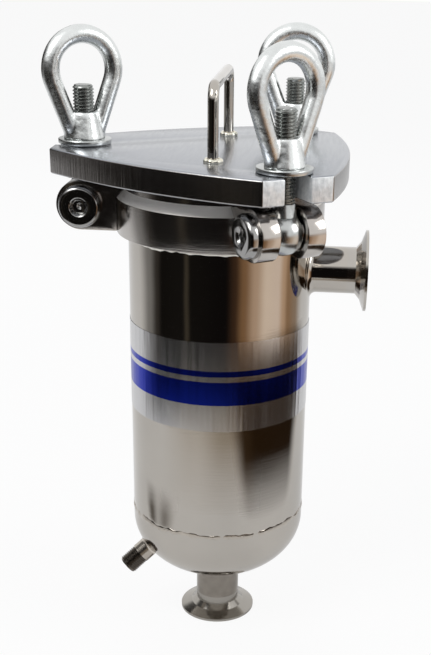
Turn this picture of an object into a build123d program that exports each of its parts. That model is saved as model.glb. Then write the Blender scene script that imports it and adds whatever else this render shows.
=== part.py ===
from build123d import *
from math import acos, atan, atan2, cos, degrees, hypot, radians, sin, tan
import os

# Bag filter housing with a swing-bolt cover. Millimetres, +Z up.
# The origin is the centre of the outlet ferrule's face, and the inlet points along +X.

# --- Vessel: pipe shell, dished head and top collar ---
vessel_od = 114.3
vessel_wall = 3.05
shell_length = 187.0
head_depth = 42.0
head_flange = 7.5
outlet_reach = 33.5
collar_od = 128.6
collar_bore = 105.0
collar_band_height = 21.5
collar_bevel_height = 5.5
collar_neck_od = 119.0
collar_neck_height = 8.0
weld_leg = 3.0
seam_bead = 1.2

# --- Clamp ferrules and their tubes ---
tube_od = 29.0
tube_wall = 1.5
ferrule_od = 50.5
ferrule_rim = 1.6
ferrule_cone_angle = 20.0
ferrule_hub_od = 36.0
ferrule_hub_blend = 3.0
ferrule_length = 12.7
gasket_groove_d = 43.5
gasket_groove_width = 3.0
gasket_groove_depth = 1.2
inlet_drop = 23.0
inlet_reach = 92.5
nozzle_fillet = 4.0

# --- Drain nipple, square to the head's surface ---
drain_od = 13.7
drain_wall = 2.2
drain_length = 20.0
drain_azimuth = 203.0
drain_slope = 39.0
drain_fillet = 1.6

# --- Cover plate, its O-ring and its handle ---
cover_thickness = 15.0
corner_overhang = 17.0
corner_width = 44.0
corner_round = 2.0
side_bulge = 9.0
edge_break = 0.8
slot_width = 16.5
groove_width = 4.2
groove_depth = 3.0
groove_clearance = 0.1
handle_span = 100.0
handle_height = 41.5
handle_rod_d = 6.35
handle_bend = 8.0
handle_weld_d = 12.0
handle_weld_height = 3.2

# --- Lugs, pivot pins, swing bolts, washers and eye nuts ---
bolt_circle_r = 83.3
bolt_d = 12.7
bolt_stickout = 34.6
bolt_tip_chamfer = 1.3
eye_d = 25.0
eye_thickness = 14.0
bolt_neck_rise = 10.0
bolt_neck_d = 15.5
bolt_neck_length = 7.0
pin_d = 12.7
pin_rise = 16.0
pin_head_d = 25.7
pin_head_height = 6.5
pin_head_round = 3.0
socket_flats = 8.0
socket_depth = 4.0
socket_bevel = 1.2
ear_r = 15.0
ear_thickness = 11.5
ear_gap = 17.0
washer_od = 32.0
washer_hole = 13.4
washer_thickness = 2.8
loop_width = 51.0
loop_bar_d = 10.9
nut_height = 65.7
boss_height = 16.0
boss_base_d = 23.0
boss_top_d = 15.6
leg_foot_offset = 7.6
leg_foot_height = 4.0

# --- Foil band round the shell ---
band_thickness = 0.3
band_height = 58.0
band_drop = 18.0

# --- Basket, bag and their rings inside the vessel ---
seat_bore = 92.0
seat_thickness = 6.0
seat_drop = 48.0
basket_gap = 1.0
basket_wall = 1.2
basket_length = 150.0
basket_floor_hole_r = 27.0
basket_floor_holes = 8
basket_rim_thickness = 2.5
basket_rim_gap = 1.2
basket_holes_round = 12
basket_hole_rows = 5
basket_hole_d = 9.0
bail_rod_d = 3.0
bail_height = 42.0
bail_bend = 36.0
bag_gap = 0.5
bag_cloth = 1.5
bag_flange = 4.0
bag_floor_gap = 9.3
bag_corner = 14.0
bag_ring_height = 3.5

# --- Fits ---
running_clearance = 0.05
cover_washer_gap = 0.3
washer_nut_gap = 0.1
cutter_overrun = 6.0

# Heights and radii that follow from the sizes above.
vessel_r = vessel_od / 2
bore_r = vessel_r - vessel_wall
cover_reach = bolt_circle_r + corner_overhang
tube_r = tube_od / 2
tube_bore_r = tube_r - tube_wall
tangent_z = outlet_reach + head_depth
seam_z = tangent_z + head_flange
collar_z = seam_z + shell_length
collar_top_z = collar_z + collar_band_height + collar_bevel_height + collar_neck_height
cover_top_z = collar_top_z + cover_thickness
pin_z = collar_z + pin_rise
washer_z = cover_top_z + cover_washer_gap
nut_z = washer_z + washer_thickness + washer_nut_gap
inlet_z = collar_z - inlet_drop
seat_top_z = collar_z - seat_drop
rim_top_z = seat_top_z + basket_rim_thickness
bag_length = basket_length + basket_rim_thickness - basket_wall - bag_floor_gap

# Each closure station: its angle round the vessel, the side its pin head is on
# and the way the loop of its eye nut faces when tight.
stations = {
    "left": {"angle": 180, "pin_side": 1, "nut_turn": 34},
    "front": {"angle": 300, "pin_side": -1, "nut_turn": 41},
    "rear": {"angle": 60, "pin_side": 1, "nut_turn": 8},
}

half_pitch = radians(180 / len(stations))
on_base = (Align.CENTER, Align.CENTER, Align.MIN)


def turned(outline):
    """A closed (radius, height) outline, turned about Z."""
    return revolve(Plane.XZ * make_face(Polyline(*outline, close=True)), Axis.Z)


def disc(radius, bottom, height):
    return Pos(0, 0, bottom) * Cylinder(radius, height, align=on_base)


def ring(outer_r, inner_r, bottom, height):
    return disc(outer_r, bottom, height) - disc(inner_r, bottom, height)


def bead(radius, height, bead_r):
    """Round weld bead along a circle."""
    return Pos(0, 0, height) * Torus(radius, bead_r)


# --- Vessel ---


def head_dome(radius, depth):
    """Half ellipsoid below the head's tangent line, as a solid."""
    quarter = make_face(
        Line((0, 0), (radius, 0))
        + EllipticalCenterArc((0, 0), radius, depth, start_angle=270, arc_size=90)
        + Line((0, -depth), (0, 0))
    )
    return Pos(0, 0, tangent_z) * revolve(Plane.XZ * quarter, Axis.Z)


def inlet_axis_cylinder(radius, start, end):
    return Plane.YZ.offset(start) * Pos(0, inlet_z, 0) * Cylinder(radius, end - start, align=on_base)


def drain_frame():
    """A frame on the head's surface, where the drain leaves square to it."""
    latitude = atan(tan(radians(drain_slope)) * head_depth / vessel_r)
    reach = vessel_r * cos(latitude)
    azimuth = radians(drain_azimuth)
    foot = (reach * cos(azimuth), reach * sin(azimuth), tangent_z - head_depth * sin(latitude))
    level = cos(radians(drain_slope))
    out = (level * cos(azimuth), level * sin(azimuth), -sin(radians(drain_slope)))
    return Plane(origin=foot, z_dir=out)


def drain_cylinder(radius, start, end):
    return drain_frame() * Pos(0, 0, start) * Cylinder(radius, end - start, align=on_base)


def root_fillet(body, branch, radius):
    """The weld fillet in the corner where a branch leaves a body."""
    joined = body + branch
    corner = [edge for edge in joined.edges() if edge not in body.edges() and edge not in branch.edges()]
    rounded = fillet(corner, radius)
    return rounded - body - branch


def make_vessel_shell():
    shell = ring(vessel_r, bore_r, seam_z, shell_length)
    return shell - inlet_axis_cylinder(tube_r, 0, vessel_od)


def make_bottom_head():
    skin = head_dome(vessel_r, head_depth) - head_dome(bore_r, head_depth - vessel_wall)
    head = skin + ring(vessel_r, bore_r, tangent_z, head_flange)
    head -= disc(tube_r, 0, tangent_z)
    return head - drain_cylinder(drain_od / 2, -vessel_wall - cutter_overrun, drain_length)


def collar_outline():
    bevel_z = collar_z + collar_band_height
    neck_z = bevel_z + collar_bevel_height
    neck_r = collar_neck_od / 2
    return [
        (0, collar_z),
        (collar_od / 2, collar_z),
        (collar_od / 2, bevel_z),
        (neck_r, neck_z),
        (neck_r, collar_top_z),
        (0, collar_top_z),
    ]


def groove_middle_r():
    return (collar_bore + collar_neck_od) / 4


def make_top_collar():
    collar = turned(collar_outline()) - disc(collar_bore / 2, collar_z, collar_top_z - collar_z)
    inner_r = groove_middle_r() - groove_width / 2
    return collar - ring(inner_r + groove_width, inner_r, collar_top_z - groove_depth, groove_depth)


def make_collar_weld():
    edge = [(vessel_r, collar_z), (vessel_r + weld_leg, collar_z), (vessel_r, collar_z - weld_leg)]
    return turned(edge)


def make_head_seam_weld():
    return bead(vessel_r, seam_z, seam_bead) - disc(vessel_r, seam_z - seam_bead, 2 * seam_bead)


# --- Nozzles: tube, ferrule and root weld ---


def make_ferrule():
    """A clamp ferrule, with its face at z = 0 and its tube end up."""
    rim_r = ferrule_od / 2
    hub_r = ferrule_hub_od / 2
    cone_z = ferrule_rim + (rim_r - hub_r) * tan(radians(ferrule_cone_angle))
    blend_z = cone_z + ferrule_hub_blend
    body = turned(
        [
            (tube_bore_r, 0),
            (rim_r, 0),
            (rim_r, ferrule_rim),
            (hub_r, cone_z),
            (tube_r, blend_z),
            (tube_r, ferrule_length),
            (tube_bore_r, ferrule_length),
        ]
    )
    groove_r = gasket_groove_d / 2
    half_width = gasket_groove_width / 2
    groove = turned(
        [
            (groove_r - half_width, 0),
            (groove_r + half_width, 0),
            (groove_r + half_width / 2, gasket_groove_depth),
            (groove_r - half_width / 2, gasket_groove_depth),
        ]
    )
    return body - groove


def inlet_frame():
    """The inlet ferrule's frame: its face on the end plane, its tube end towards the vessel."""
    return Plane(origin=(inlet_reach, 0, inlet_z), x_dir=(0, 1, 0), z_dir=(-1, 0, 0))


def make_outlet_tube():
    top = outlet_reach + vessel_wall
    return ring(tube_r, tube_bore_r, ferrule_length, top - ferrule_length)


def make_outlet_weld():
    crown = head_dome(vessel_r, head_depth)
    return root_fillet(crown, disc(tube_r, ferrule_length, tangent_z - ferrule_length), weld_leg)


def make_inlet_tube():
    end = inlet_reach - ferrule_length
    tube = inlet_axis_cylinder(tube_r, 0, end) - inlet_axis_cylinder(tube_bore_r, 0, end)
    return tube - disc(bore_r, seam_z, shell_length)


def make_inlet_saddle():
    shell = disc(vessel_r, seam_z, shell_length)
    return root_fillet(shell, inlet_axis_cylinder(tube_r, 0, inlet_reach - ferrule_length), nozzle_fillet)


def make_drain_nipple():
    start = -vessel_wall
    nipple = drain_cylinder(drain_od / 2, start, drain_length)
    return nipple - drain_cylinder(drain_od / 2 - drain_wall, start, drain_length)


def make_drain_weld():
    branch = drain_cylinder(drain_od / 2, -cutter_overrun, drain_length)
    return root_fillet(head_dome(vessel_r, head_depth), branch, drain_fillet)


# --- Cover ---


def station_point(reach, offset, angle):
    """A plan point at a reach along a station's radius and an offset across it."""
    turn = radians(angle)
    return (reach * cos(turn) - offset * sin(turn), reach * sin(turn) + offset * cos(turn))


def cover_outline():
    """Three square-cut corners joined by long sides that bow out a little."""
    sides = []
    angles = sorted(station["angle"] for station in stations.values())
    for angle, following in zip(angles, angles[1:] + angles[:1]):
        near = station_point(cover_reach, -corner_width / 2, angle)
        far = station_point(cover_reach, corner_width / 2, angle)
        next_near = station_point(cover_reach, -corner_width / 2, following)
        chord_reach = cover_reach * cos(half_pitch) + corner_width / 2 * sin(half_pitch)
        bow = station_point(chord_reach + side_bulge, 0, angle + degrees(half_pitch))
        sides += [Line(near, far), ThreePointArc(far, bow, next_near)]
    return make_face(sides)


def make_cover_plate():
    blank = extrude(cover_outline(), cover_thickness)
    blank = fillet(blank.edges().filter_by(Axis.Z), corner_round)
    for station in stations.values():
        slot = Pos(bolt_circle_r, 0, 0) * Cylinder(slot_width / 2, cover_thickness, align=on_base)
        mouth_length = corner_overhang + corner_round
        slot += Pos(bolt_circle_r, 0, 0) * Box(
            mouth_length, slot_width, cover_thickness, align=(Align.MIN, Align.CENTER, Align.MIN)
        )
        blank -= Rot(0, 0, station["angle"]) * slot
    rims = blank.edges().group_by(Axis.Z)
    blank = chamfer(rims[0] + rims[-1], edge_break)
    return Pos(0, 0, collar_top_z) * blank


def make_cover_o_ring():
    ring_r = groove_depth / 2 - groove_clearance
    return bead(groove_middle_r(), collar_top_z - groove_depth / 2, ring_r)


def make_cover_handle():
    half_span = handle_span / 2
    feet_z = cover_top_z
    top_z = cover_top_z + handle_height
    path = FilletPolyline(
        (0, -half_span, feet_z),
        (0, -half_span, top_z),
        (0, half_span, top_z),
        (0, half_span, feet_z),
        radius=handle_bend,
    )
    section = Plane(path @ 0, z_dir=path % 0) * Circle(handle_rod_d / 2)
    return sweep(section, path)


def make_handle_welds():
    rod_r = handle_rod_d / 2
    profile = [(rod_r, 0), (handle_weld_d / 2, 0), (rod_r, handle_weld_height)]
    foot_weld = turned(profile)
    half_span = handle_span / 2
    return Compound([Pos(0, side * half_span, cover_top_z) * foot_weld for side in (-1, 1)])


# --- Closure stations, made on +X and turned to their angles ---


def along_y(radius, start, end):
    """A cylinder along Y through the pivot, between two offsets."""
    frame = Plane(origin=(bolt_circle_r, start, pin_z), z_dir=(0, 1, 0))
    return frame * Cylinder(radius, end - start, align=on_base)


def make_lug():
    """Two round-nosed ears, cut to sit on the collar."""
    ears = []
    for side in (-1, 1):
        inner = side * ear_gap / 2
        outer = side * (ear_gap / 2 + ear_thickness)
        low, high = min(inner, outer), max(inner, outer)
        nose = along_y(ear_r, low, high)
        web = Pos(bolt_circle_r / 2, (low + high) / 2, pin_z) * Box(bolt_circle_r, ear_thickness, 2 * ear_r)
        ear = nose + web - along_y(pin_d / 2 + running_clearance, low, high)
        ears.append(ear - turned(collar_outline()) - disc(collar_neck_od / 2, 0, cover_top_z))
    return Compound(ears)


def make_pivot_pin(side):
    """A shouldered pin: round head with a hexagon socket, flush at its far end."""
    half_length = ear_gap / 2 + ear_thickness
    head_r = pin_head_d / 2
    face = pin_head_height
    knee = (head_r - pin_head_round * (1 - cos(radians(45))), face - pin_head_round * (1 - sin(radians(45))))
    pin_r = pin_d / 2
    body = make_face(
        Polyline((0, face), (0, -2 * half_length), (pin_r, -2 * half_length), (pin_r, 0), (head_r, 0))
        + Line((head_r, 0), (head_r, face - pin_head_round))
        + ThreePointArc((head_r, face - pin_head_round), knee, (head_r - pin_head_round, face))
        + Line((head_r - pin_head_round, face), (0, face))
    )
    pin = revolve(Plane.XZ * body, Axis.Z)
    corner_r = socket_flats / 2 / cos(radians(30))
    pin -= Pos(0, 0, face - socket_depth) * extrude(RegularPolygon(corner_r, 6), socket_depth)
    bevel_r = corner_r + socket_bevel
    pin -= turned([(0, face), (bevel_r, face), (0, face - bevel_r)])
    frame = Plane(origin=(bolt_circle_r, side * half_length, pin_z), x_dir=(1, 0, 0), z_dir=(0, side, 0))
    return frame * pin


def make_swing_bolt():
    """Forged eye with flattened cheeks, a tapered neck and a round shank."""
    eye = Sphere(eye_d / 2) & Box(eye_d, eye_thickness, eye_d)
    neck = Pos(0, 0, bolt_neck_rise) * Cone(bolt_neck_d / 2, bolt_d / 2, bolt_neck_length, align=on_base)
    length = cover_top_z + bolt_stickout - pin_z
    shank = Pos(0, 0, bolt_neck_rise) * Cylinder(bolt_d / 2, length - bolt_neck_rise, align=on_base)
    shank = chamfer(shank.edges().group_by(Axis.Z)[-1], bolt_tip_chamfer)
    bolt = Pos(bolt_circle_r, 0, pin_z) * (eye + neck + shank)
    return bolt - along_y(pin_d / 2 + running_clearance, -ear_gap / 2, ear_gap / 2)


def make_washer():
    washer = ring(washer_od / 2, washer_hole / 2, washer_z, washer_thickness)
    return Pos(bolt_circle_r, 0, 0) * washer


def make_eye_nut():
    """Teardrop loop of round bar on a tapered, bored boss, standing at the origin."""
    arc_r = (loop_width - loop_bar_d) / 2
    centre_z = nut_height - loop_width / 2
    rise = centre_z - leg_foot_height
    # Each straight leg runs from its foot to where it touches the loop's circle.
    touch_angle = atan2(-rise, leg_foot_offset) + acos(arc_r / hypot(leg_foot_offset, rise))
    touch_x = arc_r * cos(touch_angle)
    touch_z = centre_z + arc_r * sin(touch_angle)
    path = Wire(
        [
            Edge.make_line((-leg_foot_offset, 0, leg_foot_height), (-touch_x, 0, touch_z)),
            Edge.make_three_point_arc((-touch_x, 0, touch_z), (0, 0, centre_z + arc_r), (touch_x, 0, touch_z)),
            Edge.make_line((touch_x, 0, touch_z), (leg_foot_offset, 0, leg_foot_height)),
        ]
    )
    loop = sweep(Plane(origin=path @ 0, z_dir=path % 0) * Circle(loop_bar_d / 2), path)
    boss = Cone(boss_base_d / 2, boss_top_d / 2, boss_height, align=on_base)
    for side in (-1, 1):
        boss += Pos(side * leg_foot_offset, 0, 0) * Cylinder(loop_bar_d / 2, leg_foot_height, align=on_base)
        boss += Pos(side * leg_foot_offset, 0, leg_foot_height) * Sphere(loop_bar_d / 2)
    nut = loop + (boss & disc(loop_width, 0, nut_height))
    return nut - disc(bolt_d / 2 + running_clearance, 0, centre_z)


def make_foil_band():
    band_z = inlet_z - tube_r - band_drop - band_height
    return ring(vessel_r + band_thickness, vessel_r, band_z, band_height)


# --- Basket and bag ---


def make_seat_ring():
    return ring(bore_r, seat_bore / 2, seat_top_z - seat_thickness, seat_thickness)


def basket_r():
    return seat_bore / 2 - basket_gap


def make_restrainer_basket():
    """The basket's rolled tube, perforated in staggered rows."""
    outer_r = basket_r()
    bottom = seat_top_z - basket_length
    tube = ring(outer_r, outer_r - basket_wall, bottom, rim_top_z - bottom)
    row_pitch = basket_length / (basket_hole_rows + 1)
    hole = Rot(0, 90, 0) * Cylinder(basket_hole_d / 2, outer_r + basket_wall, align=on_base)
    for row in range(basket_hole_rows):
        height = seat_top_z - (row + 1) * row_pitch
        for column in range(basket_holes_round):
            turn = 360 / basket_holes_round * (column + row % 2 / 2)
            tube -= Pos(0, 0, height) * Rot(0, 0, turn) * hole
    return tube


def make_basket_floor():
    """A drilled disc let into the tube's lower end."""
    bottom = seat_top_z - basket_length
    floor = disc(basket_r() - basket_wall, bottom, basket_wall)
    floor -= disc(basket_hole_d / 2, bottom, basket_wall)
    for turn in range(basket_floor_holes):
        place = Rot(0, 0, 360 / basket_floor_holes * turn) * Pos(basket_floor_hole_r, 0, 0)
        floor -= place * disc(basket_hole_d / 2, bottom, basket_wall)
    return floor


def make_basket_rim():
    """The flat ring round the tube's top, which hangs on the seat ring."""
    return ring(collar_bore / 2 - basket_rim_gap, basket_r(), seat_top_z, basket_rim_thickness)


def make_basket_bail():
    """The wire hoop that the basket is lifted out by, standing on its rim outside the bag's ring."""
    foot_r = collar_bore / 2 - basket_rim_gap - bail_rod_d / 2
    top_z = rim_top_z + bail_height
    hoop = FilletPolyline(
        (0, -foot_r, rim_top_z),
        (0, -foot_r, top_z),
        (0, foot_r, top_z),
        (0, foot_r, rim_top_z),
        radius=bail_bend,
    )
    return sweep(Plane(hoop @ 0, z_dir=hoop % 0) * Circle(bail_rod_d / 2), hoop)


def bag_r():
    return basket_r() - basket_wall - bag_gap


def make_filter_bag():
    """An open-topped cloth sack whose flange lies on the basket's rim."""
    bottom = rim_top_z - bag_length
    sack = disc(bag_r(), bottom, bag_length)
    sack = fillet(sack.edges().group_by(Axis.Z)[0], bag_corner)
    hollow = disc(bag_r() - bag_cloth, bottom + bag_cloth, bag_length)
    hollow = fillet(hollow.edges().group_by(Axis.Z)[0], bag_corner - bag_cloth)
    flange = disc(bag_r() + bag_flange, rim_top_z, bag_cloth)
    return sack + flange - hollow - disc(bag_r() - bag_cloth, rim_top_z, bag_cloth)


def make_bag_ring():
    """The snap ring that holds the bag's mouth open on its flange."""
    outer_r = bag_r() + bag_flange
    return ring(outer_r, bag_r() - bag_cloth, rim_top_z + bag_cloth, bag_ring_height)


def write(name, shape):
    export_step(shape, f"parts/{name}.step")


os.makedirs("parts", exist_ok=True)

write("vessel_shell", make_vessel_shell())
write("bottom_head", make_bottom_head())
write("head_seam_weld", make_head_seam_weld())
write("top_collar", make_top_collar())
write("collar_weld", make_collar_weld())
write("foil_band", make_foil_band())

write("outlet_tube", make_outlet_tube())
write("outlet_ferrule", make_ferrule())
write("outlet_weld", make_outlet_weld())
write("inlet_tube", make_inlet_tube())
write("inlet_ferrule", inlet_frame() * make_ferrule())
write("inlet_saddle", make_inlet_saddle())
write("drain_nipple", make_drain_nipple())
write("drain_weld", make_drain_weld())

write("cover_plate", make_cover_plate())
write("cover_o_ring", make_cover_o_ring())
write("cover_handle", make_cover_handle())
write("handle_welds", make_handle_welds())

write("basket_seat_ring", make_seat_ring())
write("restrainer_basket", make_restrainer_basket())
write("basket_floor", make_basket_floor())
write("basket_rim", make_basket_rim())
write("basket_bail", make_basket_bail())
write("filter_bag", make_filter_bag())
write("bag_ring", make_bag_ring())

lug = make_lug()
swing_bolt = make_swing_bolt()
washer = make_washer()
eye_nut = make_eye_nut()
for name, station in stations.items():
    place = Rot(0, 0, station["angle"])
    write(f"lug_{name}", place * lug)
    write(f"pivot_pin_{name}", place * make_pivot_pin(station["pin_side"]))
    write(f"swing_bolt_{name}", place * swing_bolt)
    write(f"washer_{name}", place * washer)
    facing = Rot(0, 0, station["nut_turn"] - station["angle"])
    write(f"eye_nut_{name}", place * Pos(bolt_circle_r, 0, nut_z) * facing * eye_nut)
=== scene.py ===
import math

import bpy
from mathutils import Euler, Matrix, Quaternion, Vector, noise


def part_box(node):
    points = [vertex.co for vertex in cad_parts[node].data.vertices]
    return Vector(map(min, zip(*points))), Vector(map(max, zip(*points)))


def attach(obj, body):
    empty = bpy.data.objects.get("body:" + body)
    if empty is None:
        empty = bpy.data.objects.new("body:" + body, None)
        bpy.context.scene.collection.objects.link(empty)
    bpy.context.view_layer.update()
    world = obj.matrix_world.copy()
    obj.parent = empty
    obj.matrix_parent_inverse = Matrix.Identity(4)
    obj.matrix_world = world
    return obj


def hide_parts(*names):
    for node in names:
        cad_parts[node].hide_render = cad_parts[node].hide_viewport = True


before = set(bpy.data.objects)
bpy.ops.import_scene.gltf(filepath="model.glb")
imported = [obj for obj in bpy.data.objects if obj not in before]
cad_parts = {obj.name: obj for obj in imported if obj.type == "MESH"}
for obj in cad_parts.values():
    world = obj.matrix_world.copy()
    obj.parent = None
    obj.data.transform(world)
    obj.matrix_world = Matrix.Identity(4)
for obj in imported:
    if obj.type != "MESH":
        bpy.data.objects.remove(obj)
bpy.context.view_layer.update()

bpy.ops.object.select_all(action="DESELECT")

# --- Table, studio cards and camera ---
# The housing stands on its outlet ferrule on a pale table. Soft cards round the table give the polished
# pipe something to mirror; like the lamps, they stay out of the picture.


def view_rays(tree):
    """Two masks: what the camera sees straight, and what it sees straight, in a mirror or through glass."""
    path = tree.nodes.new("ShaderNodeLightPath")
    either = tree.nodes.new("ShaderNodeMath")
    either.operation = "MAXIMUM"
    tree.links.new(path.outputs["Is Camera Ray"], either.inputs[0])
    tree.links.new(path.outputs["Is Glossy Ray"], either.inputs[1])
    any_view = tree.nodes.new("ShaderNodeMath")
    any_view.operation = "MAXIMUM"
    tree.links.new(either.outputs["Value"], any_view.inputs[0])
    tree.links.new(path.outputs["Is Transmission Ray"], any_view.inputs[1])
    return path.outputs["Is Camera Ray"], any_view.outputs["Value"]


white_to_the_eye = 0.90
white_in_mirrors = 0.30
table_paint = bpy.data.materials.new("table_top")
table_paint.use_nodes = True
tree = table_paint.node_tree
top_shader = tree.nodes["Principled BSDF"]
top_shader.inputs["Base Color"].default_value = (0.84, 0.84, 0.84, 1)
top_shader.inputs["Roughness"].default_value = 0.9
top_shader.inputs["Specular IOR Level"].default_value = 0.1
to_the_eye, any_view = view_rays(tree)
mirrored = tree.nodes.new("ShaderNodeMath")
mirrored.operation = "MULTIPLY"
mirrored.inputs[1].default_value = white_in_mirrors
tree.links.new(any_view, mirrored.inputs[0])
share = tree.nodes.new("ShaderNodeMath")
share.operation = "MULTIPLY_ADD"
share.inputs[1].default_value = white_to_the_eye - white_in_mirrors
tree.links.new(to_the_eye, share.inputs[0])
tree.links.new(mirrored.outputs["Value"], share.inputs[2])
white = tree.nodes.new("ShaderNodeEmission")
bleach = tree.nodes.new("ShaderNodeMixShader")
tree.links.new(share.outputs["Value"], bleach.inputs["Fac"])
tree.links.new(top_shader.outputs["BSDF"], bleach.inputs[1])
tree.links.new(white.outputs["Emission"], bleach.inputs[2])
tree.links.new(bleach.outputs["Shader"], tree.nodes["Material Output"].inputs["Surface"])
bpy.ops.mesh.primitive_circle_add(vertices=96, radius=9, fill_type="NGON", location=(0, 0, 0))
table = bpy.context.object
table.name = "table"
table.data.materials.append(table_paint)

card_paint = bpy.data.materials.new("card_paint")
card_paint.use_nodes = True
tree = card_paint.node_tree
tree.nodes.remove(tree.nodes["Principled BSDF"])
card_colour = tree.nodes.new("ShaderNodeVertexColor")
card_colour.layer_name = "card_colour"
glow = tree.nodes.new("ShaderNodeEmission")
clear = tree.nodes.new("ShaderNodeBsdfTransparent")
veil = tree.nodes.new("ShaderNodeMixShader")
tree.links.new(card_colour.outputs["Color"], glow.inputs["Color"])
tree.links.new(card_colour.outputs["Alpha"], veil.inputs["Fac"])
tree.links.new(clear.outputs["BSDF"], veil.inputs[1])
tree.links.new(glow.outputs["Emission"], veil.inputs[2])
tree.links.new(veil.outputs["Shader"], tree.nodes["Material Output"].inputs["Surface"])

camera_place = (0.0668, -0.7133, 0.4391)
camera_bearing = math.degrees(math.atan2(camera_place[0], -camera_place[1]))


def studio_card(name, distance, bottom, top, colours, head_fade, foot_fade=0.0, foot_width=1.0):
    """A curved card that only mirrors see, its colour and strength going by the bearing from the camera.

    Foot and head fade out over a share of the card's height, and the foot can be narrower than the head.
    """
    bpy.ops.mesh.primitive_grid_add(x_subdivisions=120, y_subdivisions=20, size=1)
    card = bpy.context.object
    card.name = name
    paint = card.data.color_attributes.new("card_colour", "FLOAT_COLOR", "POINT")
    left, right = colours[0][0], colours[-1][0]
    middle = (left + right) / 2
    rounding = 1e-3
    for vertex in card.data.vertices:
        across, up = vertex.co.x + 0.5, vertex.co.y + 0.5
        bearing = left + across * (right - left)
        after = next(i for i in range(1, len(colours)) if bearing <= colours[i][0] + rounding)
        (start, first), (end, second) = colours[after - 1], colours[after]
        part = min(1, max(0, (bearing - start) / (end - start)))
        part = part * part * (3 - 2 * part)
        shade = [one + (two - one) * part for one, two in zip(first, second)]
        shade[3] *= min(1, up / foot_fade if foot_fade else 1) * min(1, (1 - up) / head_fade)
        paint.data[vertex.index].color = shade
        spread = foot_width + (1 - foot_width) * math.sqrt(up)
        turn = math.radians(camera_bearing + middle + (bearing - middle) * spread)
        vertex.co = (distance * math.sin(turn), -distance * math.cos(turn), bottom + up * (top - bottom))
    card.data.materials.append(card_paint)
    card.visible_camera = False
    card.visible_shadow = False
    card.visible_diffuse = False


studio_card("dark_card", distance=0.43, bottom=0.0, top=0.52, head_fade=0.22, colours=[
    (-116, (0.3, 0.3, 0.3, 0)), (-94, (0.16, 0.155, 0.15, 0.8)), (-80, (0.05, 0.045, 0.04, 1)),
    (-72, (0.010, 0.009, 0.008, 1)), (-44, (0.012, 0.011, 0.010, 1)), (-39, (0.07, 0.060, 0.045, 1)),
    (-34, (0.010, 0.009, 0.008, 1)), (6, (0.007, 0.006, 0.006, 1)), (16, (0.04, 0.022, 0.014, 1)),
    (30, (0.25, 0.15, 0.08, 0)),
])
studio_card("warm_card", distance=0.425, bottom=0.0, top=0.30, head_fade=0.25, colours=[
    (8, (0.02, 0.015, 0.012, 0)), (17, (0.06, 0.032, 0.018, 1)), (28, (0.30, 0.17, 0.085, 1)),
    (42, (0.66, 0.48, 0.35, 1)), (57, (1.0, 0.84, 0.70, 1)), (73, (0.98, 0.82, 0.70, 1)),
    (82, (0.72, 0.50, 0.34, 1)), (90, (0.40, 0.25, 0.145, 1)), (104, (0.40, 0.30, 0.22, 1)),
    (122, (0.6, 0.55, 0.5, 0)),
])
studio_card("back_left_card", distance=0.43, bottom=0.24, top=0.60, foot_fade=0.22, head_fade=0.22, colours=[
    (-168, (0.03, 0.028, 0.025, 0)), (-140, (0.03, 0.028, 0.025, 1)), (-100, (0.015, 0.014, 0.012, 1)),
    (-78, (0.03, 0.028, 0.025, 0)),
])
studio_card(
    "low_right_card", distance=0.225, bottom=0.0, top=0.16, foot_fade=0.34, head_fade=0.10, foot_width=0.46,
    colours=[
        (2, (0.06, 0.036, 0.018, 0)), (24, (0.045, 0.026, 0.012, 1)), (40, (0.026, 0.014, 0.006, 1)),
        (104, (0.026, 0.015, 0.008, 1)), (126, (0.08, 0.06, 0.04, 0)),
    ],
)
studio_card("low_left_card", distance=0.205, bottom=0.0, top=0.034, head_fade=0.6, foot_width=0.7, colours=[
    (-104, (0.10, 0.085, 0.065, 0)), (-90, (0.10, 0.085, 0.065, 0.9)), (-78, (0.10, 0.085, 0.065, 0.3)),
    (-66, (0.12, 0.10, 0.08, 0.7)), (-46, (0.2, 0.17, 0.13, 0)),
])
studio_card("low_front_card", distance=0.25, bottom=0.0, top=0.12, foot_fade=0.55, head_fade=0.40, colours=[
    (-75, (0.60, 0.55, 0.47, 0)), (-30, (0.60, 0.54, 0.46, 0.6)), (6, (0.40, 0.34, 0.265, 0.9)),
    (32, (0.34, 0.27, 0.20, 0.9)), (52, (0.3, 0.24, 0.18, 0)),
])

lamp_target = Vector((0, 0, 0.2))
for name, place, size, power in (
    ("key_lamp", (-0.8, -0.9, 1.5), 0.9, 12),
    ("side_lamp", (1.4, -0.3, 1.0), 0.7, 7),
    ("back_lamp", (-0.4, 1.3, 1.3), 1.0, 6),
):
    bpy.ops.object.light_add(type="AREA", location=place)
    lamp = bpy.context.object
    lamp.name = name
    lamp.data.size = size
    lamp.data.energy = power
    lamp.visible_glossy = name != "back_lamp"
    lamp.rotation_euler = (lamp_target - Vector(place)).to_track_quat("-Z", "Y").to_euler()

world = bpy.data.worlds.new("studio")
bpy.context.scene.world = world
world.use_nodes = True
tree = world.node_tree
room = tree.nodes["Background"]
room.inputs["Color"].default_value = (0.60, 0.61, 0.63, 1)
room.inputs["Strength"].default_value = 0.8
any_view = view_rays(tree)[1]
white_room = tree.nodes.new("ShaderNodeBackground")
white_room.inputs["Color"].default_value = (1, 1, 1, 1)
white_room.inputs["Strength"].default_value = 1.0
seen = tree.nodes.new("ShaderNodeMixShader")
tree.links.new(any_view, seen.inputs["Fac"])
tree.links.new(room.outputs["Background"], seen.inputs[1])
tree.links.new(white_room.outputs["Background"], seen.inputs[2])
tree.links.new(seen.outputs["Shader"], tree.nodes["World Output"].inputs["Surface"])

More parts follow.
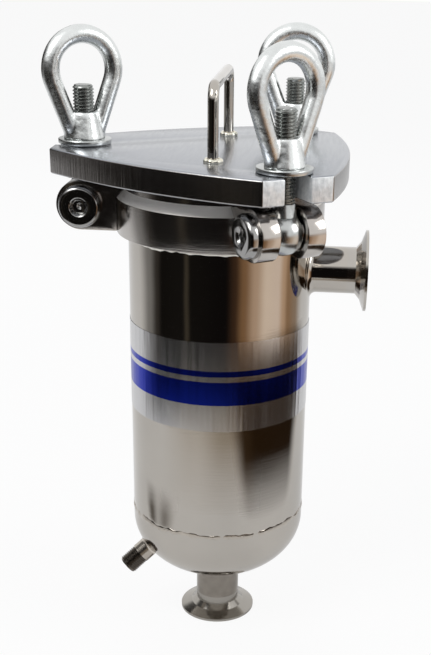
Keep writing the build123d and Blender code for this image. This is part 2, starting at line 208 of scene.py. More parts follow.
look_down = math.radians(22.824)
heading = math.radians(2.413)
roll = math.radians(1.635)
bpy.ops.object.camera_add(location=camera_place)
camera = bpy.context.object
camera.rotation_mode = "QUATERNION"
level = Euler((math.radians(90) - look_down, 0, heading)).to_quaternion()
camera.rotation_quaternion = level @ Quaternion((0, 0, 1), roll)
camera.data.lens = 63.9
camera.data.sensor_width = 36
camera.data.shift_x = -0.089
camera.data.shift_y = 0.15
camera.data.clip_start = 0.01
bpy.context.scene.camera = camera
bpy.context.scene.view_settings.view_transform = "Standard"

# --- Pipe vessel: shell and dished head ---
# A length of stainless pipe and a pressed head, polished together to a mirror. The pipe isn't quite true, so
# what it mirrors wavers a little, and faint lines from the mop run round it.

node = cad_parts


def worked_metal(name, colour, roughness, grain, bump, tone=0.06, blotch=30, waver=0.0, metallic=1.0):
    """A worked surface: a grain with its own scale on each axis, soft changes of tone, a wavering face."""
    metal = bpy.data.materials.new(name)
    metal.use_nodes = True
    tree = metal.node_tree
    shader = tree.nodes["Principled BSDF"]
    shader.inputs["Metallic"].default_value = metallic
    place = tree.nodes.new("ShaderNodeTexCoord")
    stretch = tree.nodes.new("ShaderNodeMapping")
    stretch.inputs["Scale"].default_value = grain
    tree.links.new(place.outputs["Object"], stretch.inputs["Vector"])
    lines = tree.nodes.new("ShaderNodeTexNoise")
    lines.inputs["Scale"].default_value = 1.0
    lines.inputs["Detail"].default_value = 4.0
    tree.links.new(stretch.outputs["Vector"], lines.inputs["Vector"])
    clouds = tree.nodes.new("ShaderNodeTexNoise")
    clouds.inputs["Scale"].default_value = blotch
    clouds.inputs["Detail"].default_value = 3.0
    tree.links.new(place.outputs["Object"], clouds.inputs["Vector"])
    shade = tree.nodes.new("ShaderNodeMix")
    shade.data_type = "RGBA"
    shade.inputs["A"].default_value = (*[part * (1 - tone) for part in colour], 1)
    shade.inputs["B"].default_value = (*[min(1, part * (1 + tone)) for part in colour], 1)
    tree.links.new(clouds.outputs["Fac"], shade.inputs["Factor"])
    tree.links.new(shade.outputs["Result"], shader.inputs["Base Color"])
    rough = tree.nodes.new("ShaderNodeMapRange")
    rough.inputs["To Min"].default_value = roughness * 0.7
    rough.inputs["To Max"].default_value = roughness * 1.3
    tree.links.new(lines.outputs["Fac"], rough.inputs["Value"])
    tree.links.new(rough.outputs["Result"], shader.inputs["Roughness"])
    relief = tree.nodes.new("ShaderNodeBump")
    relief.inputs["Strength"].default_value = bump
    relief.inputs["Distance"].default_value = 0.0002
    tree.links.new(lines.outputs["Fac"], relief.inputs["Height"])
    if waver:
        swell = tree.nodes.new("ShaderNodeTexNoise")
        swell.inputs["Scale"].default_value = 22.0
        swell.inputs["Detail"].default_value = 1.0
        tree.links.new(place.outputs["Object"], swell.inputs["Vector"])
        ripple = tree.nodes.new("ShaderNodeBump")
        ripple.inputs["Strength"].default_value = 1.0
        ripple.inputs["Distance"].default_value = waver
        tree.links.new(swell.outputs["Fac"], ripple.inputs["Height"])
        tree.links.new(ripple.outputs["Normal"], relief.inputs["Normal"])
    tree.links.new(relief.outputs["Normal"], shader.inputs["Normal"])
    return metal


def dress(surface, *names):
    """Gives solids that keep their CAD shape their surface."""
    for name in names:
        node[name].data.materials.clear()
        node[name].data.materials.append(surface)


mirror_pipe = worked_metal(
    "mirror_pipe", (0.48, 0.45, 0.41), roughness=0.07, grain=(60, 60, 900), bump=0.06, waver=0.0005
)
dress(mirror_pipe, "vessel_shell", "bottom_head")

# --- Weld beads: head seam and collar bead ---
# The head is butt-welded to the shell, and the seam ground nearly flush, which leaves an uneven low bead
# between two undercuts; their shade is painted on, near-black in patches along both edges of the bead.
# The bead under the collar is small, pale and a little ragged.


def shade_smooth(piece, degrees=40):
    bpy.ops.object.select_all(action="DESELECT")
    piece.select_set(True)
    bpy.context.view_layer.objects.active = piece
    bpy.ops.object.shade_smooth_by_angle(angle=math.radians(degrees))


def ragged_bead(name, middle_r, height, half_width, proud, unevenness):
    """A weld bead round the vessel: a flattened torus whose width, crown and line wander."""
    edge_waves = 260
    crown_waves = 190
    line_waves = 70
    shade_patch_waves = 90
    shade_from_edge = 0.45
    bpy.ops.mesh.primitive_torus_add(
        major_segments=256, minor_segments=14, major_radius=middle_r, minor_radius=half_width,
        location=(0, 0, height),
    )
    bead = bpy.context.object
    bead.name = name
    bpy.ops.object.transform_apply(location=True, rotation=False, scale=False)
    # Painted shade: a colour layer, near-black in patches along both edges of the bead, where the undercuts'
    # shade falls.
    tint = bead.data.color_attributes.new("heat", "FLOAT_COLOR", "POINT")
    for vertex in bead.data.vertices:
        turn = math.atan2(vertex.co.y, vertex.co.x)
        spot = Vector((math.cos(turn), math.sin(turn), 0)) * middle_r
        out = math.hypot(vertex.co.x, vertex.co.y) - middle_r
        up = vertex.co.z - height
        wide = 1 + unevenness * noise.noise(spot * edge_waves + Vector((0, 0, up * 300)))
        tall = 1 + unevenness * noise.noise(spot * crown_waves + Vector((7, 0, 0)))
        drift = 0.6 * unevenness * half_width * noise.noise(spot * line_waves + Vector((0, 3, 0)))
        reach = middle_r + out / half_width * proud * tall
        vertex.co = (math.cos(turn) * reach, math.sin(turn) * reach, height + up * wide + drift)
        edge = min(1, abs(up) / half_width)
        patchy = min(1, max(0, 0.55 + 1.6 * noise.noise(spot * shade_patch_waves)))
        dark = max(0, edge - shade_from_edge) / 0.5 * patchy
        tint.data[vertex.index].color = (dark, dark, dark, 1)
    shade_smooth(bead)
    return bead


def tint_over(metal, colour, mask):
    """Lays a second colour over a surface's own, as far as the mask says."""
    tree = metal.node_tree
    base = tree.nodes["Principled BSDF"].inputs["Base Color"]
    over = tree.nodes.new("ShaderNodeMix")
    over.data_type = "RGBA"
    over.inputs["B"].default_value = (*colour, 1)
    tree.links.new(base.links[0].from_socket, over.inputs["A"])
    tree.links.new(mask, over.inputs["Factor"])
    tree.links.new(over.outputs["Result"], base)


def fit(piece, body, slot, *replaced):
    """Gives a finished piece its body and hides the CAD solids it stands for; the slot is not used."""
    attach(piece, body)
    if replaced:
        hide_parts(*replaced)


seam_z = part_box("vessel_shell")[0][2]
shell_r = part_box("vessel_shell")[1][0]
collar_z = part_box("top_collar")[0][2]
weld_bead = worked_metal(
    "weld_bead", (0.48, 0.44, 0.39), roughness=0.20, grain=(500, 500, 500), bump=0.5, tone=0.15, blotch=300
)
# The undercuts' painted shade, laid near-black over the bead's own colour.
heat = weld_bead.node_tree.nodes.new("ShaderNodeVertexColor")
heat.layer_name = "heat"
tint_over(weld_bead, (0.018, 0.015, 0.013), heat.outputs["Color"])
head_seam = ragged_bead(
    "head_seam", shell_r - 0.0003, seam_z, half_width=0.0019, proud=0.00055, unevenness=0.9
)
head_seam.data.materials.append(weld_bead)
fit(head_seam, "root", "weld_metal", "head_seam_weld")

pale_weld = worked_metal(
    "pale_weld", (0.90, 0.86, 0.80), roughness=0.34, grain=(700, 700, 700), bump=0.7, tone=0.15, blotch=400,
    metallic=0.4,
)
collar_bead = ragged_bead(
    "collar_bead", shell_r + 0.0003, collar_z - 0.0010, half_width=0.0015, proud=0.0014, unevenness=0.8
)
collar_bead.data.materials.append(pale_weld)
fit(collar_bead, "root", "weld_metal", "collar_weld")

# --- Clamp ferrules and their tubes ---
# Turned sanitary ferrules, butt-welded to short drawn tubes. The tube under the vessel is left as drawn, and
# the side one is polished like the shell. The turned faces carry fine rings round their own axes. The tube
# and ferrule under the vessel are coloured darker than the side ones: that darkening is painted shade.

# Painted shade: the drawn tube's colour is darkened for the shade under the vessel; its blotchy tone is the
# drawn finish.
drawn_tube_and_shade = worked_metal(
    "drawn_tube_and_shade", (0.27, 0.245, 0.215), roughness=0.17, grain=(260, 260, 25), bump=0.35, tone=0.28, blotch=130
)
dress(drawn_tube_and_shade, "outlet_tube")
# Painted shade: the outlet ferrule is a darker copy of the side ferrule's turned finish.
turned_ferrule_and_shade = worked_metal(
    "turned_ferrule_and_shade", (0.36, 0.34, 0.31), roughness=0.13, grain=(120, 120, 1500), bump=0.10
)
dress(turned_ferrule_and_shade, "outlet_ferrule")
side_ferrule_turned = worked_metal(
    "side_ferrule_turned", (0.48, 0.455, 0.42), roughness=0.12, grain=(1500, 120, 120), bump=0.10
)
dress(side_ferrule_turned, "inlet_ferrule")
dress(mirror_pipe, "inlet_tube", "inlet_saddle", "outlet_weld")

# --- Drain nipple ---
# A short pipe nipple welded square to the head. Its outer two thirds are threaded for a drain valve, and a
# plain collar is left at the root.


def screw_thread(name, root_r, crest_r, pitch, low, high, lead_in):
    """A threaded rod along Z: a V profile screwed up one pitch each turn, cut flat at both ends."""
    bpy.ops.mesh.primitive_plane_add(size=0.01)
    thread = bpy.context.object
    thread.name = name
    bpy.ops.object.mode_set(mode="EDIT")
    bpy.ops.mesh.merge(type="CENTER")
    bpy.ops.transform.translate(value=(root_r, 0, low - pitch))
    rise = crest_r - root_r
    for out, up in ((0, 0.12), (rise, 0.34), (0, 0.20), (-rise, 0.34)):
        bpy.ops.mesh.extrude_vertices_move(TRANSFORM_OT_translate={"value": (out, 0, up * pitch)})
    bpy.ops.object.mode_set(mode="OBJECT")
    turn = thread.modifiers.new("turns", "SCREW")
    turn.axis = "Z"
    turn.angle = 2 * math.pi
    turn.screw_offset = pitch
    turn.iterations = math.ceil((high - low) / pitch) + 2
    turn.steps = turn.render_steps = 36
    turn.use_smooth_shade = True
    bpy.ops.object.modifier_apply(modifier="turns")
    bpy.ops.object.mode_set(mode="EDIT")
    bpy.ops.mesh.select_all(action="SELECT")
    bpy.ops.mesh.remove_doubles(threshold=1e-6)
    bpy.ops.mesh.bisect(plane_co=(0, 0, low), plane_no=(0, 0, 1), clear_inner=True, use_fill=True)
    bpy.ops.mesh.select_all(action="SELECT")
    bpy.ops.mesh.bisect(plane_co=(0, 0, high), plane_no=(0, 0, 1), clear_outer=True, use_fill=True)
    bpy.ops.mesh.select_all(action="SELECT")
    bpy.ops.mesh.normals_make_consistent(inside=False)
    bpy.ops.object.mode_set(mode="OBJECT")
    for vertex in thread.data.vertices:
        reach = math.hypot(vertex.co.x, vertex.co.y)
        limit = crest_r - max(0, lead_in - (high - vertex.co.z))
        if reach > limit:
            vertex.co.x *= limit / reach
            vertex.co.y *= limit / reach
    return thread


def plain_rod(radius, low, high):
    """A plain round bar along Z, as a length of nipple or as the drill that bores it."""
    bpy.ops.mesh.primitive_cylinder_add(
        vertices=64, radius=radius, depth=high - low, location=(0, 0, (low + high) / 2)
    )
    bpy.ops.object.transform_apply(location=True, rotation=False, scale=False)
    return bpy.context.object


def joined(first, *others):
    """Joins finished bits into the first of them."""
    bpy.ops.object.select_all(action="DESELECT")
    for bit in (first, *others):
        bit.select_set(True)
    bpy.context.view_layer.objects.active = first
    bpy.ops.object.join()
    return first


drain_r = 0.00685
drain_wall = 0.0022
drain_slope = math.radians(39)
drain_azimuth = math.radians(203)
head_depth = 0.042
head_flange = 0.0075
root_low = -0.0030
thread_low = 0.0075
thread_high = 0.0199
drill_low = -0.0145
drill_high = 0.0255
latitude = math.atan(math.tan(drain_slope) * head_depth / shell_r)
level_way = Vector((math.cos(drain_azimuth), math.sin(drain_azimuth), 0))
foot_z = seam_z - head_flange - head_depth * math.sin(latitude)
drain_foot = level_way * shell_r * math.cos(latitude) + Vector((0, 0, foot_z))
drain_out = level_way * math.cos(drain_slope) - Vector((0, 0, math.sin(drain_slope)))
bpy.ops.object.select_all(action="DESELECT")
nipple = screw_thread(
    "drain_nipple_threaded", root_r=drain_r - 0.0009, crest_r=drain_r - 0.0001, pitch=0.00141,
    low=thread_low, high=thread_high, lead_in=0.0011,
)
plain_collar = plain_rod(drain_r, root_low, thread_low)
drill = plain_rod(drain_r - drain_wall, drill_low, drill_high)
for part in (plain_collar, nipple):
    bpy.context.view_layer.objects.active = part
    bore = part.modifiers.new("bore", "BOOLEAN")
    bore.object = drill
    bore.solver = "EXACT"
    bpy.ops.object.modifier_apply(modifier="bore")
bpy.data.objects.remove(drill)
nipple = joined(nipple, plain_collar)
nipple.rotation_mode = "QUATERNION"
nipple.rotation_quaternion = drain_out.to_track_quat("Z", "Y")
nipple.location = drain_foot
bpy.ops.object.transform_apply(location=True, rotation=True, scale=False)
shade_smooth(nipple)
drain_steel = worked_metal(
    "drain_steel", (0.17, 0.15, 0.13), roughness=0.22, grain=(400, 400, 400), bump=0.25, tone=0.15, blotch=150
)
plain_root = worked_metal(
    "plain_root", (0.46, 0.42, 0.37), roughness=0.20, grain=(400, 400, 400), bump=0.15, tone=0.12, blotch=150
)
nipple.data.materials.append(drain_steel)
nipple.data.materials.append(plain_root)
for face in nipple.data.polygons:
    face.material_index = 1 if (face.center - drain_foot).dot(drain_out) < thread_low - 0.0001 else 0
fit(nipple, "root", "satin_steel", "drain_nipple")
drain_bead = worked_metal(
    "drain_bead", (0.60, 0.55, 0.49), roughness=0.22, grain=(500, 500, 500), bump=0.5, tone=0.15, blotch=300
)
dress(drain_bead, "drain_weld")

# --- Top collar ---
# A ring turned from bar and left with a fine lathe finish: a plain band, a bevelled shoulder and a
# narrower neck that the cover sits on. The bevel is rougher than the band, and its lighter colour is a
# painted highlight.


def merged_copy(name, copy_name):
    """A copy of a CAD solid's mesh with its loose triangles joined and its flat faces made whole."""
    copy = bpy.data.objects.new(copy_name, node[name].data.copy())
    bpy.context.scene.collection.objects.link(copy)
    bpy.ops.object.select_all(action="DESELECT")
    copy.select_set(True)
    bpy.context.view_layer.objects.active = copy
    bpy.ops.object.mode_set(mode="EDIT")
    bpy.ops.mesh.select_all(action="SELECT")
    bpy.ops.mesh.remove_doubles(threshold=1e-6)
    bpy.ops.mesh.customdata_custom_splitnormals_clear()
    bpy.ops.mesh.dissolve_limited(angle_limit=math.radians(0.4))
    bpy.ops.object.mode_set(mode="OBJECT")
    return copy


def softened(name, copy_name, width, steps=2):
    """The solid with every sharp edge rounded, as the deburring wheel leaves it."""
    copy = merged_copy(name, copy_name)
    edges = copy.modifiers.new("edges", "BEVEL")
    edges.width = width
    edges.segments = steps
    edges.limit_method = "ANGLE"
    edges.angle_limit = math.radians(32)
    edges.use_clamp_overlap = False
    bpy.ops.object.modifier_apply(modifier="edges")
    copy.data.materials.clear()
    shade_smooth(copy, 35)
    return copy


turned_collar = worked_metal(
    "turned_collar", (0.50, 0.475, 0.45), roughness=0.17, grain=(30, 30, 2500), bump=0.25
)
# Painted highlight: the bevel's steel is much lighter than the band's; its rougher, less metallic finish is
# its own.
rough_bevel_and_highlight = worked_metal(
    "rough_bevel_and_highlight", (0.74, 0.71, 0.67), roughness=0.34, grain=(30, 30, 2500), bump=0.25, tone=0.10, blotch=60,
    metallic=0.35,
)
collar = softened("top_collar", "collar_ring", 0.0005)
collar.data.materials.append(turned_collar)
collar.data.materials.append(rough_bevel_and_highlight)
# The faces tilted partly up are the bevel, which gets the painted highlight.
for face in collar.data.polygons:
    if 0.45 < face.normal.z < 0.9:
        face.material_index = 1
fit(collar, "root", "satin_steel", "top_collar")

# --- Foil band ---
# A self-adhesive foil label wrapped round the shell, printed only with two plain blue stripes. It was
# smoothed on by hand, so it has fine upright creases, a few bubbles and edges that aren't quite straight.

band_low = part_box("foil_band")[0][2]
band_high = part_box("foil_band")[1][2]
band_width = band_high - band_low
glue = 0.00006
foil_thickness = 0.00006
rings = 30
bpy.ops.mesh.primitive_cylinder_add(
    vertices=720, radius=shell_r + glue, depth=band_width, end_fill_type="NOTHING",
    location=(0, 0, (band_low + band_high) / 2),
)
foil = bpy.context.object
foil.name = "foil_label"
bpy.ops.object.transform_apply(location=True, rotation=False, scale=False)
bpy.ops.object.mode_set(mode="EDIT")
for ring in range(1, rings):
    bpy.ops.mesh.select_all(action="SELECT")
    level = band_low + band_width * ring / rings
    bpy.ops.mesh.bisect(plane_co=(0, 0, level), plane_no=(0, 0, 1))
bpy.ops.object.mode_set(mode="OBJECT")
for vertex in foil.data.vertices:
    turn = math.atan2(vertex.co.y, vertex.co.x)
    round_way = Vector((math.cos(turn), math.sin(turn), 0)) * shell_r
    up = vertex.co.z - band_low
    crease = max(0, noise.noise(round_way * 330 + Vector((0, 0, up * 22))) - 0.12)
    bubble = 0.5 + 0.5 * noise.noise(round_way * 60 + Vector((4, 0, up * 35)))
    lift = 0.00020 * crease + 0.00005 * bubble
    scale = (shell_r + glue + lift) / math.hypot(vertex.co.x, vertex.co.y)
    edge = 0.0003 * (1 + noise.noise(round_way * 45 + Vector((0, 9, 0))))
    height_share = up / band_width
    trim = -edge if height_share > 0.97 else edge if height_share < 0.03 else 0
    vertex.co = (vertex.co.x * scale, vertex.co.y * scale, vertex.co.z + trim)
thick = foil.modifiers.new("thick", "SOLIDIFY")
thick.thickness = foil_thickness
thick.offset = 1
bpy.ops.object.modifier_apply(modifier="thick")
shade_smooth(foil, 60)
silver_foil = worked_metal(
    "silver_foil", (0.60, 0.595, 0.60), roughness=0.22, grain=(420, 420, 16), bump=0.35, tone=0.05, blotch=40
)
tree = silver_foil.node_tree
place = tree.nodes.new("ShaderNodeTexCoord")
split = tree.nodes.new("ShaderNodeSeparateXYZ")
tree.links.new(place.outputs["Object"], split.inputs["Vector"])
print_height = tree.nodes.new("ShaderNodeMapRange")
print_height.inputs["From Min"].default_value = band_low
print_height.inputs["From Max"].default_value = band_high
tree.links.new(split.outputs["Z"], print_height.inputs["Value"])
stripes = tree.nodes.new("ShaderNodeValToRGB")
stripes.color_ramp.interpolation = "CONSTANT"
stripes.color_ramp.elements[0].color = (0, 0, 0, 1)
stripes.color_ramp.elements[1].position = 0.30
stripes.color_ramp.elements[1].color = (1, 1, 1, 1)
for position, ink in ((0.56, 0), (0.62, 1), (0.68, 0)):
    stop = stripes.color_ramp.elements.new(position)
    stop.color = (ink, ink, ink, 1)
tree.links.new(print_height.outputs["Result"], stripes.inputs["Fac"])
tint_over(silver_foil, (0.012, 0.03, 0.42), stripes.outputs["Color"])
foil.data.materials.append(silver_foil)
fit(foil, "root", "silver_foil", "foil_band")

# --- Lugs and pivot pins ---
# Each station has two round-nosed ears welded to the collar, and a shouldered pin with a domed head and a
# hexagon socket, on which the swing bolt turns.

stations = {"left": 180, "front": 300, "rear": 60}
lug_steel = worked_metal(
    "lug_steel", (0.50, 0.47, 0.44), roughness=0.15, grain=(250, 250, 250), bump=0.15, tone=0.10, blotch=90
)
pin_steel = worked_metal(
    "pin_steel", (0.36, 0.355, 0.35), roughness=0.13, grain=(300, 300, 300), bump=0.08, tone=0.12, blotch=120
)
for name in stations:
    ears = softened(f"lug_{name}", f"ears_{name}", 0.0007)
    ears.data.materials.append(lug_steel)
    fit(ears, "root", "satin_steel", f"lug_{name}")
    pin = softened(f"pivot_pin_{name}", f"pin_{name}", 0.0003)
    pin.data.materials.append(pin_steel)
    fit(pin, "root", "satin_steel", f"pivot_pin_{name}")

# --- Cover plate ---
# Thick plate cut to three square corners: its faces are ground satin, its long sides are dark and brushed
# across, and the sawn corners and slots are rough and bright.

ground_face = worked_metal(
    "ground_face", (0.36, 0.375, 0.405), roughness=0.24, grain=(700, 40, 700), bump=0.05, tone=0.06, blotch=18
)
brushed_side = worked_metal(
    "brushed_side", (0.36, 0.345, 0.335), roughness=0.20, grain=(800, 800, 22), bump=0.9, tone=0.30,
    blotch=110,
)
sawn_end = worked_metal(
    "sawn_end", (0.76, 0.82, 0.86), roughness=0.34, grain=(420, 420, 200), bump=2.2, tone=0.45, blotch=330,
    metallic=0.45,
)
plate = softened("cover_plate", "cover_slab", 0.0003)
for metal in (ground_face, brushed_side, sawn_end):
    plate.data.materials.append(metal)
station_ways = {
    name: Vector((math.cos(math.radians(angle)), math.sin(math.radians(angle)), 0))
    for name, angle in stations.items()
}
sawn_from = 0.0743
sawn_half_width = 0.0215
for face in plate.data.polygons:
    way = max(station_ways.values(), key=face.center.dot)
    sawn = face.center.dot(way) > sawn_from and abs(face.center.cross(way).z) < sawn_half_width
    if abs(face.normal.z) > 0.6:
        face.material_index = 0
    else:
        face.material_index = 2 if sawn else 1
fit(plate, "root", "satin_steel", "cover_plate")

# --- Cover handle ---
# A polished rod bent to a staple, with its feet standing on the plate. Each foot has a small ring of weld
# round it, whose ripples and golden heat tint were left as they came.

dress(mirror_pipe, "cover_handle")
foot_weld_metal = worked_metal(
    "foot_weld_metal", (0.90, 0.82, 0.70), roughness=0.18, grain=(900, 900, 900), bump=0.4, tone=0.25,
    blotch=500,
)
plate_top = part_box("cover_plate")[1][2]
foot_spread = 0.05
bead_ring_r = 0.0040
bead_r = 0.0016
bead_z = plate_top + 0.0007
bead_sunk = 0.0004
foot_welds = []
for foot_y in (-foot_spread, foot_spread):
    bpy.ops.mesh.primitive_torus_add(
        major_segments=72, minor_segments=16, major_radius=bead_ring_r, minor_radius=bead_r,
        location=(0, foot_y, bead_z),
    )
    weld = bpy.context.object
    bpy.ops.object.transform_apply(location=True, rotation=False, scale=False)
    for vertex in weld.data.vertices:
        turn = math.atan2(vertex.co.y - foot_y, vertex.co.x)
        round_way = Vector((math.cos(turn), math.sin(turn), 0))
        uneven = noise.noise(round_way + Vector((0, 0, foot_y * 90)))
        swell = 1 + 0.16 * math.cos(7 * turn) + 0.22 * uneven
        middle = round_way * bead_ring_r + Vector((0, foot_y, bead_z))
        vertex.co = middle + (vertex.co - middle) * swell
        vertex.co.z = max(vertex.co.z, plate_top - bead_sunk)
    foot_welds.append(weld)
foot_weld = joined(*foot_welds)
foot_weld.name = "handle_foot_welds"
shade_smooth(foot_weld, 60)
foot_weld.data.materials.append(foot_weld_metal)
fit(foot_weld, "root", "weld_metal", "handle_welds")

# --- Swing bolts ---
# Forged eye bolts in bright zinc. The eye and the plain neck are as forged and plated, and a coarse thread,
# coloured darker than the plating, runs from the neck to the chamfered tip.


def placed_copy(piece, name, move):
    """Another of the same piece, with a mesh of its own, moved as the matrix says."""
    copy = bpy.data.objects.new(name, piece.data.copy())
    bpy.context.scene.collection.objects.link(copy)
    copy.data.transform(move)
    return copy


zinc_plate = worked_metal(
    "zinc_plate", (0.50, 0.515, 0.51), roughness=0.24, grain=(420, 420, 420), bump=0.25, tone=0.12, blotch=160
)
dark_thread = worked_metal(
    "dark_thread", (0.30, 0.31, 0.30), roughness=0.26, grain=(420, 420, 420), bump=0.2, tone=0.15, blotch=160
)
bolt_circle_r = 0.0833
neck_z = 0.303
tip_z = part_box("swing_bolt_left")[1][2]
bolt = merged_copy("swing_bolt_left", "bolt_left")
bpy.ops.object.mode_set(mode="EDIT")
bpy.ops.mesh.select_all(action="SELECT")
bpy.ops.mesh.bisect(plane_co=(0, 0, neck_z), plane_no=(0, 0, 1), clear_outer=True, use_fill=True)
bpy.ops.object.mode_set(mode="OBJECT")
shank = screw_thread(
    "shank", root_r=0.0055, crest_r=0.00632, pitch=0.00195, low=neck_z - 0.001, high=tip_z, lead_in=0.0013
)
for vertex in shank.data.vertices:
    vertex.co.x -= bolt_circle_r
bolt = joined(bolt, shank)
bolt.data.materials.clear()
bolt.data.materials.append(zinc_plate)
bolt.data.materials.append(dark_thread)
for face in bolt.data.polygons:
    face.material_index = 1 if face.center.z > neck_z - 0.0005 else 0
shade_smooth(bolt, 35)
for name, angle in stations.items():
    turn = Matrix.Rotation(math.radians(angle - stations["left"]), 4, "Z")
    made = bolt if name == "left" else placed_copy(bolt, f"bolt_{name}", turn)
    fit(made, f"swing_bolt_{name}", "zinc_steel", f"swing_bolt_{name}")

# --- Washers ---
# Plain flat washers, stamped from sheet and zinc plated, so their edges are a little rolled. Each lies loose
# on the plate round its bolt, under the nut.

for name in stations:
    washer = softened(f"washer_{name}", f"flat_washer_{name}", 0.0005, 3)
    washer.data.materials.append(zinc_plate)
    fit(washer, f"washer_{name}", "zinc_steel", f"washer_{name}")

# --- Eye nuts ---
# Drop-forged lifting eye nuts: the loop's legs flow into a tapered boss, and the plated forging is slightly
# mottled and pitted. Each came to rest at its own angle when it was tightened.

forged_zinc = worked_metal(
    "forged_zinc", (0.74, 0.76, 0.755), roughness=0.27, grain=(300, 300, 300), bump=0.5, tone=0.12, blotch=130
)
nut_turns = {"left": 34, "front": 41, "rear": 8}
nut_axis = station_ways["front"] * bolt_circle_r
tapped_r = 0.0068
seat_rim_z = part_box("eye_nut_front")[0][2] + 0.0012


def as_forged(vertex):
    """True where the nut's skin is left as forged, away from the tapped hole and the machined seat."""
    off = vertex.co - nut_axis
    return math.hypot(off.x, off.y) > tapped_r and vertex.co.z > seat_rim_z


nut = merged_copy("eye_nut_front", "nut_front")
forging = nut.modifiers.new("forging", "REMESH")
forging.mode = "VOXEL"
forging.voxel_size = 0.00055
forging.use_smooth_shade = True
bpy.ops.object.modifier_apply(modifier="forging")
bpy.ops.object.mode_set(mode="EDIT")
bpy.ops.mesh.select_all(action="DESELECT")
bpy.ops.object.mode_set(mode="OBJECT")
for vertex in nut.data.vertices:
    vertex.select = as_forged(vertex)
bpy.ops.object.mode_set(mode="EDIT")
bpy.ops.mesh.select_mode(type="VERT")
bpy.ops.mesh.vertices_smooth(factor=0.5, repeat=14)
bpy.ops.object.mode_set(mode="OBJECT")
outward = [vertex.normal.copy() for vertex in nut.data.vertices]
for vertex, way in zip(nut.data.vertices, outward):
    if as_forged(vertex):
        dent = noise.noise(vertex.co * 260) + 0.5 * noise.noise(vertex.co * 620)
        vertex.co += way * dent * 0.00006
nut.data.materials.clear()
nut.data.materials.append(forged_zinc)
shade_smooth(nut, 50)
for name in stations:
    turn = Matrix.Rotation(math.radians(nut_turns[name] - nut_turns["front"]), 4, "Z")
    move = Matrix.Translation(station_ways[name] * bolt_circle_r) @ turn @ Matrix.Translation(-nut_axis)
    made = nut if name == "front" else placed_copy(nut, f"nut_{name}", move)
    fit(made, f"eye_nut_{name}", "zinc_steel", f"eye_nut_{name}")

# --- Cover seal ---
# A moulded O-ring of black nitrile rubber, pressed by hand into the groove in the collar's top face, where
# the cover plate squeezes it.

black_nitrile = worked_metal(
    "black_nitrile", (0.018, 0.018, 0.02), roughness=0.55, grain=(900, 900, 900), bump=0.3, metallic=0.0
)
dress(black_nitrile, "cover_o_ring")

# --- Seat ring and restrainer basket ---
# The seat ring is turned, and welded in the shell. The basket on it is a tube rolled from perforated sheet
# in satin stainless, with a welded floor, a flat rim and a hoop of bright wire to lift it by.

basket_steel = worked_metal(
    "basket_steel", (0.58, 0.57, 0.56), roughness=0.30, grain=(60, 60, 700), bump=0.25, tone=0.08, blotch=40
)
bail_wire = worked_metal(
    "bail_wire", (0.60, 0.59, 0.58), roughness=0.18, grain=(300, 300, 300), bump=0.1
)
dress(basket_steel, "basket_seat_ring", "restrainer_basket", "basket_floor", "basket_rim")
dress(bail_wire, "basket_bail")

# --- Filter bag and its snap ring ---
# A sewn polyester felt sack, pressed lightly against the basket, with an upright seam and a flange that the
# plated snap ring holds on the basket's rim.

bag_low, bag_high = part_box("filter_bag")
bag_floor = bag_low[2]
flange_r = bag_high[0]
flange_width = 0.004
flange_cloth = 0.0015
side_cloth = 0.0014
sack_r = flange_r - flange_width
sides_high = bag_high[2] - flange_cloth
corner = 0.014
corner_steps = 6
side_steps = 30
felt_profile = [(sack_r - corner, bag_floor)]
for step in range(1, corner_steps + 1):
    turn = math.radians(90 * step / corner_steps)
    rise = corner * (1 - math.cos(turn))
    felt_profile.append((sack_r - corner + corner * math.sin(turn), bag_floor + rise))
for step in range(1, side_steps + 1):
    rise = corner + (sides_high - bag_floor - corner) * step / side_steps
    felt_profile.append((sack_r, bag_floor + rise))
felt_profile.append((flange_r, sides_high))
bpy.ops.mesh.primitive_circle_add(
    vertices=120, radius=felt_profile[0][0], fill_type="TRIFAN", location=(0, 0, felt_profile[0][1])
)
felt = bpy.context.object
felt.name = "felt_sack"
bpy.ops.object.transform_apply(location=True, rotation=False, scale=False)
bpy.ops.object.mode_set(mode="EDIT")
bpy.ops.mesh.select_all(action="DESELECT")
bpy.ops.object.mode_set(mode="OBJECT")
for edge in felt.data.edges:
    edge.select = all(math.hypot(*felt.data.vertices[v].co[:2]) > 0.001 for v in edge.vertices)
bpy.ops.object.mode_set(mode="EDIT")
bpy.ops.mesh.select_mode(type="EDGE")
for (before_r, before_z), (after_r, after_z) in zip(felt_profile, felt_profile[1:]):
    bpy.ops.mesh.extrude_edges_move(TRANSFORM_OT_translate={"value": (0, 0, after_z - before_z)})
    grow = after_r / before_r
    bpy.ops.transform.resize(value=(grow, grow, 1), center_override=(0, 0, after_z))
bpy.ops.mesh.select_all(action="SELECT")
bpy.ops.mesh.normals_make_consistent(inside=False)
bpy.ops.object.mode_set(mode="OBJECT")

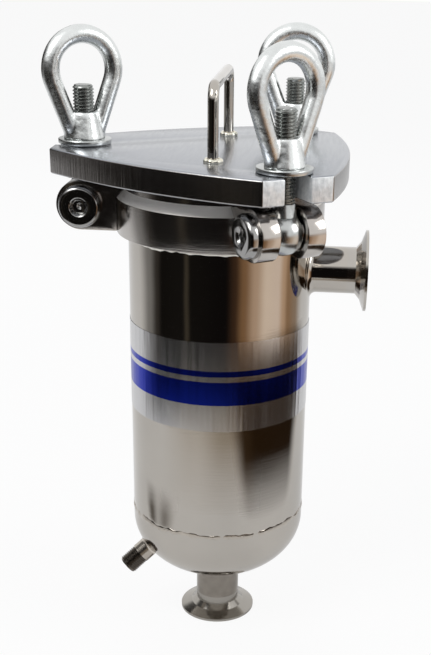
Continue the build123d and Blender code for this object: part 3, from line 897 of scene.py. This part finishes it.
floor_middle_r = 0.004
hem = 0.006
sag_depth = 0.0013
seam_depth = 0.0006
seam_bearing = 20
seam_spread = 1.6
for vertex in felt.data.vertices:
    reach = math.hypot(vertex.co.x, vertex.co.y)
    if reach < floor_middle_r or vertex.co.z > sides_high - hem:
        continue
    turn = math.atan2(vertex.co.y, vertex.co.x)
    sag = 0.5 + 0.5 * noise.noise(Vector((math.cos(turn) * 3, math.sin(turn) * 3, vertex.co.z * 45)))
    seam = math.exp(-((math.degrees(turn) - seam_bearing) / seam_spread) ** 2)
    pull = (sag_depth * sag + seam_depth * seam) / reach
    vertex.co.x *= 1 - pull
    vertex.co.y *= 1 - pull
wall = felt.modifiers.new("wall", "SOLIDIFY")
wall.thickness = side_cloth
wall.offset = -1
bpy.ops.object.modifier_apply(modifier="wall")
shade_smooth(felt, 50)
felt_cloth = bpy.data.materials.new("felt_cloth")
felt_cloth.use_nodes = True
tree = felt_cloth.node_tree
shader = tree.nodes["Principled BSDF"]
shader.inputs["Roughness"].default_value = 0.95
shader.inputs["Sheen Weight"].default_value = 0.4
shader.inputs["Sheen Roughness"].default_value = 0.6
place = tree.nodes.new("ShaderNodeTexCoord")
fibres = tree.nodes.new("ShaderNodeTexNoise")
fibres.inputs["Scale"].default_value = 1400.0
fibres.inputs["Detail"].default_value = 6.0
tree.links.new(place.outputs["Object"], fibres.inputs["Vector"])
shade = tree.nodes.new("ShaderNodeValToRGB")
shade.color_ramp.elements[0].position = 0.35
shade.color_ramp.elements[0].color = (0.62, 0.60, 0.55, 1)
shade.color_ramp.elements[1].position = 0.7
shade.color_ramp.elements[1].color = (0.82, 0.81, 0.77, 1)
tree.links.new(fibres.outputs["Fac"], shade.inputs["Fac"])
tree.links.new(shade.outputs["Color"], shader.inputs["Base Color"])
nap = tree.nodes.new("ShaderNodeBump")
nap.inputs["Strength"].default_value = 0.8
nap.inputs["Distance"].default_value = 0.0003
tree.links.new(fibres.outputs["Fac"], nap.inputs["Height"])
tree.links.new(nap.outputs["Normal"], shader.inputs["Normal"])
felt.data.materials.append(felt_cloth)
fit(felt, "root", "felt", "filter_bag")
dress(zinc_plate, "bag_ring")
